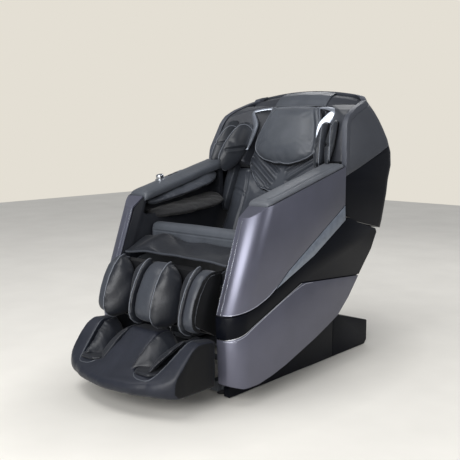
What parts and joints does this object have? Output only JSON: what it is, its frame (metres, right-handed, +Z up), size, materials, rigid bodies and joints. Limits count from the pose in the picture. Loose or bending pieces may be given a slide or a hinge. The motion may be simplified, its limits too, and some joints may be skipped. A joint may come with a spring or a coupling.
{
  "type": "massage chair",
  "caption": "Free-standing reclining massage chair with hooded back, cushioned arms and a lifting leg rest, in grey and black.",
  "frame": {"origin": "on the floor, at the centre of the chair's length and width", "axes": "+Z up; the sitter faces -Y; +X is the sitter's left"},
  "size_m": [0.8, 1.48, 1.216],
  "materials": {
    "shell_paint": "metallic grey-lavender lacquer over moulded ABS, satin gloss",
    "hood_paint": "dark grey satin lacquer over moulded ABS",
    "black_plastic": "satin black moulded ABS",
    "silver_trim": "silver metallic lacquer",
    "chrome_trim": "bright chrome plating over moulded ABS",
    "leather": "dark grey polyurethane leather with fine grain and piping",
    "leather_dark": "blue-black glossy polyurethane leather",
    "airbag_fabric": "dark woven mesh fabric",
    "frame_steel": "grey powder coat on steel",
    "rod_steel": "ground and polished steel",
    "drive_housing": "black glass-filled nylon housings",
    "supply_case": "silver grey moulded case",
    "nylon": "natural nylon slide pads",
    "roller_nylon": "tan polyurethane massage rollers",
    "foot_rubber": "black rubber",
    "button_rubber": "soft dark rubber"
  },
  "bodies": {
    "base": {"base_frame": "frame_steel", "base_covers": "black_plastic", "rear_cover": "black_plastic", "power_supply": "supply_case", "power_inlet": "black_plastic", "floor_feet": "foot_rubber"},
    "switch": {"power_switch": "black_plastic"},
    "wheel_left": {"transport_wheel_left": "foot_rubber"},
    "wheel_right": {"transport_wheel_right": "foot_rubber"},
    "cradle": {"seat_frame": "frame_steel", "glide_shoes": "nylon", "side_casing_left": "black_plastic", "side_casing_right": "black_plastic", "arm_panel_left": "shell_paint", "arm_panel_right": "shell_paint", "side_bands": "black_plastic", "lower_panel_left": "shell_paint", "lower_panel_right": "shell_paint", "blade_trims": "silver_trim", "edge_trims": "chrome_trim", "arm_pad_left": "leather", "arm_pad_right": "leather", "forearm_airbags": "airbag_fabric", "seat_cushion": "leather_dark", "seat_roll": "leather", "seat_drape": "leather", "control_pod": "chrome_trim", "air_pump": "drive_housing", "recline_actuator": "drive_housing", "legrest_actuator": "drive_housing"},
    "knob": {"control_knob": "chrome_trim"},
    "up_button": {"button_up": "button_rubber"},
    "down_button": {"button_down": "button_rubber"},
    "recline_rod": {"recline_rod": "rod_steel"},
    "legrest_rod": {"legrest_rod": "rod_steel"},
    "backrest": {"back_frame": "frame_steel", "upper_back_cover": "hood_paint", "lower_back_cover": "black_plastic", "back_pad": "leather", "neck_pad": "leather", "shoulder_airbags_left": "leather", "shoulder_airbags_right": "leather", "speaker_left": "chrome_trim", "speaker_right": "chrome_trim", "pillow_flap": "leather"},
    "pillow": {"head_pillow": "leather"},
    "carriage": {"massage_carriage": "frame_steel"},
    "knead_left": {"knead_arm_left": "rod_steel"},
    "knead_right": {"knead_arm_right": "rod_steel"},
    "roller_upper_left": {"massage_roller_upper_left": "roller_nylon"},
    "roller_lower_left": {"massage_roller_lower_left": "roller_nylon"},
    "roller_upper_right": {"massage_roller_upper_right": "roller_nylon"},
    "roller_lower_right": {"massage_roller_lower_right": "roller_nylon"},
    "legrest": {"calf_shell": "black_plastic", "calf_bands": "leather", "calf_pads": "leather_dark"},
    "footrest": {"foot_shell": "leather_dark", "foot_guide_rods": "rod_steel", "foot_pads": "leather_dark"},
    "sole_roller": {"sole_roller": "roller_nylon"}
  },
  "joints": [
    {"name": "back_recline", "type": "hinge", "parent": "cradle", "child": "backrest", "pos_m": [0, 0.225, 0.44], "axis": [-1, 0, 0], "range_deg": [0, 45.01]},
    {"name": "seat_glide", "type": "slide", "parent": "base", "child": "cradle", "axis": [0, -1, 0], "range_m": [0, 0.12]},
    {"name": "recline_rod_slide", "type": "slide", "parent": "cradle", "child": "recline_rod", "axis": [0, -1, 0], "range_m": [0, 0.07542]},
    {"name": "legrest_lift", "type": "hinge", "parent": "cradle", "child": "legrest", "pos_m": [0, -0.33, 0.47], "axis": [-1, 0, 0], "range_deg": [0, 75], "deforming": ["seat_drape"]},
    {"name": "legrest_rod_slide", "type": "slide", "parent": "cradle", "child": "legrest_rod", "axis": [0, -1, 0], "range_m": [0, 0.09212]},
    {"name": "footrest_extend", "type": "slide", "parent": "legrest", "child": "footrest", "axis": [0, -0.0993, -0.9951], "range_m": [0, 0.16005]},
    {"name": "sole_roller_turn", "type": "hinge", "parent": "footrest", "child": "sole_roller", "pos_m": [0, -0.548, 0.126], "axis": [1, 0, 0], "continuous": true},
    {"name": "pillow_flip", "type": "hinge", "parent": "backrest", "child": "pillow", "pos_m": [0, 0.50084, 1.14364], "axis": [-1, 0, 0], "range_deg": [0, 95]},
    {"name": "carriage_travel", "type": "slide", "parent": "backrest", "child": "carriage", "axis": [0, 0.4067, 0.9135], "range_m": [0, 0.38]},
    {"name": "knead_left_swing", "type": "hinge", "parent": "carriage", "child": "knead_left", "pos_m": [0, 0.38185, 0.55626], "axis": [1, 0, 0], "range_deg": [-10, 10]},
    {"name": "knead_right_swing", "type": "hinge", "parent": "carriage", "child": "knead_right", "pos_m": [0, 0.38185, 0.55626], "axis": [1, 0, 0], "range_deg": [-10, 10]},
    {"name": "roller_upper_left_turn", "type": "hinge", "parent": "knead_left", "child": "roller_upper_left", "pos_m": [0, 0.38718, 0.63707], "axis": [1, 0, 0], "continuous": true},
    {"name": "roller_lower_left_turn", "type": "hinge", "parent": "knead_left", "child": "roller_lower_left", "pos_m": [0, 0.32535, 0.49822], "axis": [1, 0, 0], "continuous": true},
    {"name": "roller_upper_right_turn", "type": "hinge", "parent": "knead_right", "child": "roller_upper_right", "pos_m": [0, 0.38718, 0.63707], "axis": [1, 0, 0], "continuous": true},
    {"name": "roller_lower_right_turn", "type": "hinge", "parent": "knead_right", "child": "roller_lower_right", "pos_m": [0, 0.32535, 0.49822], "axis": [1, 0, 0], "continuous": true},
    {"name": "knob_turn", "type": "hinge", "parent": "cradle", "child": "knob", "pos_m": [-0.356, -0.07433, 0.80642], "axis": [0, -0.2425, 0.9701], "continuous": true},
    {"name": "button_up_press", "type": "slide", "parent": "cradle", "child": "up_button", "axis": [0, 0.2425, -0.9701], "range_m": [0, 0.0014], "stiffness_N_per_m": 300, "springref_m": -0.0015},
    {"name": "button_down_press", "type": "slide", "parent": "cradle", "child": "down_button", "axis": [0, 0.2425, -0.9701], "range_m": [0, 0.0014], "stiffness_N_per_m": 300, "springref_m": -0.0015},
    {"name": "switch_rock", "type": "hinge", "parent": "base", "child": "switch", "pos_m": [-0.09, 0.672, 0.066], "axis": [1, 0, 0], "range_deg": [0, 18]},
    {"name": "wheel_left_turn", "type": "hinge", "parent": "base", "child": "wheel_left", "pos_m": [0, 0.632, 0.033], "axis": [1, 0, 0], "continuous": true},
    {"name": "wheel_right_turn", "type": "hinge", "parent": "base", "child": "wheel_right", "pos_m": [0, 0.632, 0.033], "axis": [1, 0, 0], "continuous": true}
  ],
  "couplings": [
    {"joint": "back_recline", "follows": "seat_glide", "rad_per_m": 6.545},
    {"joint": "recline_rod_slide", "follows": "seat_glide", "ratio": 0.62833},
    {"joint": "legrest_rod_slide", "follows": "legrest_lift", "m_per_rad": 0.070359},
    {"joint": "footrest_extend", "follows": "legrest_lift", "m_per_rad": 0.12223}
  ]
}
